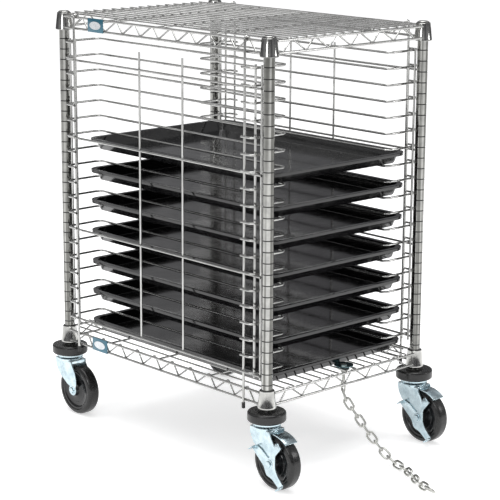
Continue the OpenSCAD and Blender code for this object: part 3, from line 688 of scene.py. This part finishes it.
zinc = finish(
    "blue_zinc", (0.62, 0.73, 0.77), (0.40, 0.51, 0.56), 1.0, (0.16, 0.28), grain_scale=260, depth=0.005,
    patch_scale=45,
)
RUBBER_CLEAN, RUBBER_DUSTY = (0.006, 0.006, 0.006), (0.012, 0.012, 0.012)
bumper_rubber = finish("bumper_rubber", RUBBER_CLEAN, RUBBER_DUSTY, 0.0, (0.18, 0.32), depth=0.04)
tread_rubber = finish("tread_rubber", RUBBER_CLEAN, RUBBER_DUSTY, 0.0, (0.18, 0.34), depth=0.05)
core_plastic = finish(
    "core_plastic", (0.005, 0.005, 0.0055), (0.010, 0.010, 0.011), 0.0, (0.12, 0.24), depth=0.03,
)
ball_steel = finish("ball_steel", (0.7, 0.7, 0.7), (0.6, 0.6, 0.6), 1.0, (0.1, 0.2))
tyre_low, tyre_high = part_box("tyre_rear_right")
WHEEL_R, WHEEL_W, CORE_R = tyre_high.z / 2, tyre_high.x - tyre_low.x, 0.0505
TRAIL = POST_Y - (tyre_low.y + tyre_high.y) / 2
FORK_GAP, FORK_METAL, CROWN_Z = 0.020, 0.003, 0.135
AXLE_R, NUT_R, WASHER_R = 0.00475, 0.0080, 0.0105
BUMPER_R, BUMPER_H, BUMPER_Z = 0.0445, 0.0238, 0.1630


def round_blank(radius, depth, sides=64):
    """A disc on the Z axis, centred on the origin, ready to be turned into a part."""
    start_fresh()
    bpy.ops.mesh.primitive_cylinder_add(vertices=sides, radius=radius, depth=depth)
    return bpy.context.object


def select_faces(piece, chosen):
    """Enters edit mode with just the faces that chosen() accepts."""
    bpy.ops.object.mode_set(mode="EDIT")
    bpy.ops.mesh.select_mode(type="FACE")
    bpy.ops.mesh.select_all(action="DESELECT")
    mesh = bmesh.from_edit_mesh(piece.data)
    for face in mesh.faces:
        face.select = chosen(face)
    mesh.select_flush_mode()
    bmesh.update_edit_mesh(piece.data)


def turn_ends(piece, steps, ends=(-1, 1)):
    """Steps in both end faces: each step goes inwards and then up or down by a depth."""
    select_faces(piece, lambda face: round(face.normal.z) in ends and abs(face.normal.z) > 0.9999)
    for inwards, depth in steps:
        bpy.ops.mesh.inset(thickness=inwards, depth=depth)


def round_edges(piece, width, segments, chosen):
    """Bevels the edges that chosen() accepts by their two ends."""
    bpy.ops.object.mode_set(mode="EDIT")
    bpy.ops.mesh.select_mode(type="EDGE")
    bpy.ops.mesh.select_all(action="DESELECT")
    mesh = bmesh.from_edit_mesh(piece.data)
    for edge in mesh.edges:
        edge.select = chosen(*(vert.co for vert in edge.verts))
    bmesh.update_edit_mesh(piece.data)
    bpy.ops.mesh.bevel(offset=width, segments=segments, profile=0.5)


def bore(piece):
    """Joins the two selected end faces by a hole through the part."""
    bpy.ops.mesh.bridge_edge_loops()
    bpy.ops.object.mode_set(mode="OBJECT")


def plate(name, outline, metal, at_x, bevel=0.0006, pressed=None):
    """Sheet metal cut to a Y, Z outline, its inner face at X = at_x and its metal towards +X."""
    start_fresh()
    bpy.ops.mesh.primitive_circle_add(vertices=len(outline), fill_type="NGON")
    piece = bpy.context.object
    piece.name = name
    for vert, (y, z) in zip(piece.data.vertices, outline):
        vert.co = (at_x, y, z)
    bpy.ops.object.mode_set(mode="EDIT")
    bpy.ops.mesh.select_all(action="SELECT")
    bpy.ops.mesh.extrude_region_move(TRANSFORM_OT_translate={"value": (metal, 0, 0)})
    bpy.ops.mesh.select_all(action="SELECT")
    bpy.ops.mesh.normals_make_consistent(inside=False)
    if pressed:
        inwards, depth = pressed
        bpy.ops.object.mode_set(mode="OBJECT")
        select_faces(piece, lambda face: abs(face.normal.x) > 0.99 and len(face.verts) > 8)
        bpy.ops.mesh.inset(thickness=inwards, depth=0)
        bpy.ops.transform.translate(value=(depth, 0, 0))
    bpy.ops.object.mode_set(mode="OBJECT")
    bpy.ops.object.modifier_add(type="BEVEL")
    piece.modifiers[-1].width, piece.modifiers[-1].segments = bevel, 2
    apply_modifiers(piece)
    return piece


def arc(centre, radius, start, end, steps):
    """Points of an arc in the Y, Z plane, in degrees from +Y towards +Z."""
    angles = [math.radians(start + (end - start) * i / steps) for i in range(steps + 1)]
    return [(centre[0] + radius * math.cos(a), centre[1] + radius * math.sin(a)) for a in angles]


def cross_rod(radius, x_from, x_to, y, z, sides=24, chamfer=0.0005):
    """A rod along X with chamfered ends."""
    piece = round_blank(radius, x_to - x_from, sides)
    round_edges(piece, chamfer, 2, lambda a, b: abs(a.z - b.z) < 1e-7)
    bpy.ops.object.mode_set(mode="OBJECT")
    middle = Matrix.Translation(((x_from + x_to) / 2, y, z))
    piece.data.transform(middle @ Matrix.Rotation(math.pi / 2, 4, "Y"))
    return piece


AXLE = (-TRAIL, WHEEL_R)

# Wheel core: a moulded hub, web and rim
core_model = round_blank(CORE_R - 0.0002, WHEEL_W - 0.004)
turn_ends(core_model, [
    (0.0040, 0), (0.0015, -0.0010), (0.0030, -0.0015), (0.0090, -0.0004), (0.0010, 0.0008), (0.0095, -0.0004),
    (0.0060, 0.0025), (0.0020, 0.0052), (0.0030, 0), (0.0065, -0.0004),
])
bore(core_model)
smooth(core_model, 30)

# Tyre: a thick ring with round shoulders and a raised line on each side
tyre_model = round_blank(WHEEL_R, WHEEL_W, 96)
round_edges(tyre_model, 0.0085, 7, lambda a, b: abs(a.z - b.z) < 1e-7 and a.xy.length > WHEEL_R - 1e-4)
bpy.ops.object.mode_set(mode="OBJECT")
turn_ends(tyre_model, [
    (0.0008, 0.0003), (0.0010, 0), (0.0008, -0.0003), (0.0014, -0.0010),
    (WHEEL_R - 0.0085 - 0.0040 - CORE_R, -0.0006),
])
bore(tyre_model)
smooth(tyre_model, 40)

# Bumper: a moulded disc round the foot of the post
bumper_model = round_blank(BUMPER_R, BUMPER_H, 80)
round_edges(bumper_model, 0.0055, 6, lambda a, b: abs(a.z - b.z) < 1e-7)
bpy.ops.object.mode_set(mode="OBJECT")
turn_ends(bumper_model, [(0.0010, 0), (0.0170, 0.0006), (0.0006, -0.0006), (0.0074, 0)])
bore(bumper_model)
smooth(bumper_model, 35)

# Fork: two pressed legs, the crown between them and the race cup on top
leg = [
    (0.031, 0.1375), (0.031, 0.124), (0.0275, 0.114), (0.020, 0.101), (0.008, 0.090), (-0.006, 0.082),
    (-0.015, 0.0755), *arc(AXLE, 0.014, 35, -215, 22),
    (-0.0515, 0.079), (-0.0505, 0.095), (-0.047, 0.110), (-0.040, 0.121), (-0.035, 0.128), (-0.034, 0.1375),
]
fork_parts = []
for side in (-1, 1):
    at_x = FORK_GAP if side > 0 else -FORK_GAP - FORK_METAL
    fork_parts.append(plate("leg", leg, FORK_METAL, at_x, 0.0009, pressed=(0.0055, side * 0.0006)))
crown_size = (2 * FORK_GAP + 2 * FORK_METAL, 0.065, FORK_METAL)
crown = bar("crown", crown_size, (0, -0.0015, CROWN_Z + FORK_METAL / 2), 0.0013)
cup = round_blank(0.032, 0.005)
turn_ends(cup, [(0.0012, 0.0000), (0.0030, -0.0012), (0.0040, 0.0012)], ends=(1,))
bpy.ops.object.mode_set(mode="OBJECT")
cup.data.transform(Matrix.Translation((0, 0, CROWN_Z + 0.0024)))
fork_parts += [crown, cup]
fork_model = joined(fork_parts, "fork_model")
smooth(fork_model, 30)


def axle_model(braked):
    """Hex bolt through the fork with a washer under its head and a lock nut on its other end."""
    reach = 0.0270 if braked else 0.0233
    shank = cross_rod(AXLE_R, -reach - 0.001, 0.0328, *AXLE, sides=32)
    head = cross_rod(NUT_R, -reach - 0.005, -reach, *AXLE, sides=6, chamfer=0.0008)
    nut = cross_rod(NUT_R, 0.0237, 0.0290, *AXLE, sides=6, chamfer=0.0008)
    collar = cross_rod(0.0064, 0.0286, 0.0304, *AXLE, sides=32)
    washer = cross_rod(WASHER_R, -reach - 0.0009, -reach, *AXLE, sides=32, chamfer=0.0002)
    rod = joined([shank, head, nut, collar, washer], "axle_model")
    smooth(rod, 25)
    return rod


# Brake lever: a rocking plate with three arms, two of them ending in bent and ribbed foot tabs
LEVER_X, LEVER_METAL, TAB_REACH, TAB_METAL, TAB_RIBS = -0.0267, 0.0025, 0.013, 0.003, 4
FRONT_TAB, REAR_TAB = ((0.057, 0.024), (0.043, 0.035)), ((-0.046, -0.042), (-0.034, -0.053))


def rounded_outline(corners, radius):
    """A closed outline in the Y, Z plane with each corner cut back to a small curve."""
    points = []
    for before, corner, after in zip(corners[-1:] + corners, corners, corners[1:] + corners[:1]):
        before, corner, after = Vector(before), Vector(corner), Vector(after)
        cut = min(radius, (before - corner).length / 3, (after - corner).length / 3)
        into = corner + (before - corner).normalized() * cut
        out = corner + (after - corner).normalized() * cut
        points += [into, (into + 2 * corner + out) / 4, out]
    return [(AXLE[0] + y, AXLE[1] + z) for y, z in points]


lever_shape = [
    *FRONT_TAB, (0.027, 0.030), (0.002, 0.012), (-0.022, 0.057), (-0.038, 0.045),
    (-0.018, 0.022), (-0.018, -0.005), (-0.025, -0.020), *REAR_TAB,
    (-0.010, -0.034), (0.010, -0.028), (0.018, -0.009),
]
lever_parts = [plate("arms", rounded_outline(lever_shape, 0.005), LEVER_METAL, LEVER_X, 0.0007)]
for near, far in (FRONT_TAB, REAR_TAB):
    near, far = Vector(near), Vector(far)
    edge = (far - near).normalized()
    inwards = -(near + far).normalized()
    tab = [near, far, far + inwards * TAB_METAL, near + inwards * TAB_METAL]
    tab_outline = [(AXLE[0] + y, AXLE[1] + z) for y, z in tab]
    lever_parts.append(plate("tab", tab_outline, TAB_REACH + 0.0005, LEVER_X - TAB_REACH, 0.0008))
    for rib in range(TAB_RIBS):
        middle = near + (far - near) * (0.2 + 0.2 * rib) - inwards * 0.0002
        corners = [
            middle + edge * along - inwards * out
            for along, out in ((-0.0007, 0), (0.0007, 0), (0.0004, 0.0006), (-0.0004, 0.0006))
        ]
        rib_outline = [(AXLE[0] + y, AXLE[1] + z) for y, z in corners]
        lever_parts.append(plate("rib", rib_outline, TAB_REACH - 0.003, LEVER_X - TAB_REACH + 0.0015, 0.0002))
lever_model = joined(lever_parts, "lever_model")
smooth(lever_model, 30)

# Brake shoe: a curved plate over the front of the tread, on a cross pin
SHOE_R, SHOE_HALF, PIN = WHEEL_R + 0.003, 0.018, (-0.030, 0.131)
shoe_outline = arc(AXLE, SHOE_R, 94, 130, 12) + arc(AXLE, SHOE_R + FORK_METAL, 130, 94, 12)
shoe_plate = plate("shoe", shoe_outline, 2 * SHOE_HALF, -SHOE_HALF, 0.0006)
shoe_barrel = cross_rod(0.0034, -SHOE_HALF, SHOE_HALF, *PIN)
shoe_web = bar("web", (2 * SHOE_HALF - 0.001, 0.014, 0.0025), (0, PIN[0] - 0.0070, PIN[1] + 0.0002), 0.0005)
shoe_pin = cross_rod(0.0020, -0.0238, 0.0238, *PIN)
shoe_model = joined([shoe_plate, shoe_barrel, shoe_web, shoe_pin], "shoe_model")
smooth(shoe_model, 30)

# Stem, race plate and kingpin: one turned part from the post down through the fork
stem_profile = [
    (0, 0.126), (0.0095, 0.126), (0.010, 0.1265), (0.010, 0.1347), (0.006, 0.1347), (0.006, 0.1455),
    (0.0335, 0.1455), (0.034, 0.1460), (0.034, 0.1488), (0.0325, 0.1502), (0.030, 0.151), (PLUG_R, 0.151),
    (PLUG_R, 0.211), (0.0094, 0.213), (0, 0.213),
]
stems = at_posts(turned("stem", stem_profile), "turned_stems")
place_piece(stems, zinc, "root", "zinc_plate", "caster_stems")
dress(ball_steel, "caster_balls")


def fit(source, name, matrix, material, body, slot_name, *nodes):
    """Puts a copy of a modelled part in its place on a body."""
    place_piece(copy_at(source, name, matrix), material, body, slot_name, *nodes)


axles = {True: axle_model(True), False: axle_model(False)}
across = Matrix.Rotation(math.pi / 2, 4, "Y")
bumpers = []
for corner, (sign_x, sign_y) in CORNERS.items():
    at_post = Matrix.Translation((sign_x * POST_X, sign_y * POST_Y, 0))
    hub = at_post @ Matrix.Translation((0, *AXLE)) @ across
    wheel, swivel = f"wheel_{corner}", f"swivel_{corner}"
    fit(core_model, f"core_{corner}", hub, core_plastic, wheel, "wheel_core", f"wheel_core_{corner}")
    fit(tyre_model, f"tread_{corner}", hub, tread_rubber, wheel, "wheel_tread", f"tyre_{corner}")
    fit(fork_model, f"pressed_fork_{corner}", at_post, zinc, swivel, "zinc_plate", f"fork_{corner}")
    fit(axles[sign_y < 0], f"axle_bolt_{corner}", at_post, zinc, swivel, "zinc_plate", f"axle_{corner}")
    bumpers.append(copy_at(bumper_model, f"bumper_{corner}", at_post @ Matrix.Translation((0, 0, BUMPER_Z))))
    if sign_y < 0:
        side = "left" if sign_x < 0 else "right"
        fit(lever_model, f"lever_{side}", at_post, zinc, f"lever_{side}", "zinc_plate", f"brake_lever_{side}")
        fit(shoe_model, f"shoe_{side}", at_post, zinc, f"shoe_{side}", "zinc_plate", f"brake_shoe_{side}")
bumper_set = joined(bumpers, "post_bumpers")
place_piece(bumper_set, bumper_rubber, "root", "bumper_rubber", "caster_bumpers")
for source in (core_model, tyre_model, bumper_model, fork_model, lever_model, shoe_model, *axles.values()):
    bpy.data.objects.remove(source)

# ---- Chain anchor ----
# A dished washer on the shelf mat with an eye bolt through it and a washer and nut below.

# The dark teal base colour of the chrome disc is a painted reflection
anchor_painted_teal_reflection = finish("anchor_painted_teal_reflection", (0.14, 0.22, 0.24), (0.08, 0.15, 0.17), 1.0, (0.15, 0.3))
anchor_low, anchor_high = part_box("chain_anchor_disc")
ANCHOR_X, ANCHOR_Y = (anchor_low.x + anchor_high.x) / 2, (anchor_low.y + anchor_high.y) / 2
DISC_Z, DISC_BORE_R = anchor_low.z, 0.00403
SHORT_LINK_R, SHORT_LINK_WIRE_R, SHORT_LINK_STRETCH, SHORT_LINK_Z = 0.0055, 0.0022, 0.0035, 0.1703
disc_profile = [
    (DISC_BORE_R, 0), (0.012, 0), (0.016, 0.0006), (0.020, 0.0020), (0.0228, 0.0035), (0.0230, 0.0042),
    (0.0228, 0.0050), (0.0220, 0.0052), (0.0200, 0.0042), (0.016, 0.0026), (0.012, 0.0018),
    (DISC_BORE_R, 0.0018),
]
disc = turned("anchor_disc", disc_profile)
disc.data.transform(Matrix.Translation((ANCHOR_X, ANCHOR_Y, DISC_Z)))
place_piece(disc, anchor_painted_teal_reflection, "root", "anchor_chrome", "chain_anchor_disc")
dress(chain_zinc, "chain_eye_bolt", "chain_lock_nut")

# Short link between the eye and the first link of the chain
start_fresh()
bpy.ops.mesh.primitive_torus_add(
    major_radius=SHORT_LINK_R, minor_radius=SHORT_LINK_WIRE_R, major_segments=24, minor_segments=10,
)
short_link = bpy.context.object
short_link.name = "short_link"
for side in (-1, 1):
    move_verts(short_link, lambda co: co.x * side > 1e-6, (side * SHORT_LINK_STRETCH, 0, 0))
hung = Matrix.Translation((ANCHOR_X, ANCHOR_Y, SHORT_LINK_Z)) @ Matrix.Rotation(math.pi / 2, 4, "Y")
short_link.data.transform(hung)
smooth(short_link, 60)
place_piece(short_link, chain_zinc, "root", "chain_zinc")

# ---- Studio ----
# A wide white floor, a soft box to each side and a large one overhead.

bpy.ops.mesh.primitive_plane_add(size=80, location=(0, 0, 0))
floor = bpy.context.object
floor.name = "studio_floor"
studio_white = finish(
    "studio_white", (0.90, 0.90, 0.90), (0.88, 0.88, 0.88), 0.0, (0.7, 0.9), grain_scale=5, depth=0,
)
floor_shader = studio_white.node_tree.nodes["Principled BSDF"]
floor_shader.inputs["Emission Color"].default_value = (1, 1, 1, 1)
floor_shader.inputs["Emission Strength"].default_value = 0.55
give(floor, studio_white)


def soft_box(name, at, size, power):
    """A square light that faces the middle of the rack."""
    bpy.ops.object.light_add(type="AREA", location=at)
    light = bpy.context.object
    light.name = name
    light.data.shape, light.data.size, light.data.energy = "SQUARE", size, power
    light.rotation_euler = (Vector((0, 0, 0.5)) - Vector(at)).to_track_quat("-Z", "Y").to_euler()


def studio_surroundings():
    """A room that is dim at eye level and bright overhead, with uneven patches for bright metal to mirror."""
    world = bpy.data.worlds.new("studio")
    world.use_nodes = True
    nodes, link = world.node_tree.nodes, world.node_tree.links.new
    way, parts = nodes.new("ShaderNodeTexCoord"), nodes.new("ShaderNodeSeparateXYZ")
    height = nodes.new("ShaderNodeValToRGB")
    set_ramp(height, (0.05, (0.20, 0.20, 0.21, 1)), (0.75, (1, 1, 1, 1)))
    noise = nodes.new("ShaderNodeTexNoise")
    noise.inputs["Scale"].default_value = 2.2
    patches = nodes.new("ShaderNodeValToRGB")
    set_ramp(patches, (0.42, (0.35, 0.35, 0.36, 1)), (0.58, (1, 1, 1, 1)))
    mix = nodes.new("ShaderNodeMix")
    mix.data_type, mix.blend_type = "RGBA", "MULTIPLY"
    mix.inputs["Factor"].default_value = 1.0
    link(way.outputs["Generated"], parts.inputs["Vector"])
    link(parts.outputs["Z"], height.inputs["Fac"])
    link(way.outputs["Generated"], noise.inputs["Vector"])
    link(noise.outputs["Fac"], patches.inputs["Fac"])
    link(height.outputs["Color"], mix.inputs["A"])
    link(patches.outputs["Color"], mix.inputs["B"])
    link(mix.outputs["Result"], nodes["Background"].inputs["Color"])
    return world


soft_box("overhead_box", (0, 0, 4.5), 3.4, 130)
soft_box("left_box", (-4.5, -1.5, 2.2), 1.2, 34)
soft_box("right_box", (3.2, -4.2, 2.4), 1.2, 30)
bpy.context.scene.world = studio_surroundings()
bpy.context.scene.view_settings.view_transform = "Standard"
